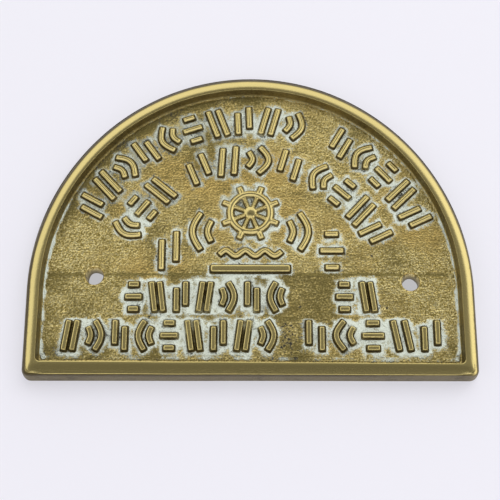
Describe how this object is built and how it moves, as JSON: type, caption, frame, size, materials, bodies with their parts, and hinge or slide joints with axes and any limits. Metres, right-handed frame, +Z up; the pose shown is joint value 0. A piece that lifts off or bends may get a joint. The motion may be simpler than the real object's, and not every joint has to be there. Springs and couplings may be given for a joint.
{
  "type": "wall plaque",
  "caption": "Cast brass wall plaque: an arched plate with a rounded raised border, rows of raised strokes round a small emblem, and a screw hole at each side.",
  "frame": {"origin": "middle of the flat back, where the plaque lies on the wall", "axes": "+Z up the wall, +Y into the wall, out of the back, the front faces -Y, +X to the right as seen from the front"},
  "size_m": [0.11, 0.0062, 0.0792],
  "materials": {
    "cast_brass": "sand-cast brass, border and stroke tops polished, pale polish residue and green tarnish in the corners"
  },
  "bodies": {
    "root": {"plaque": "cast_brass"}
  },
  "joints": []
}
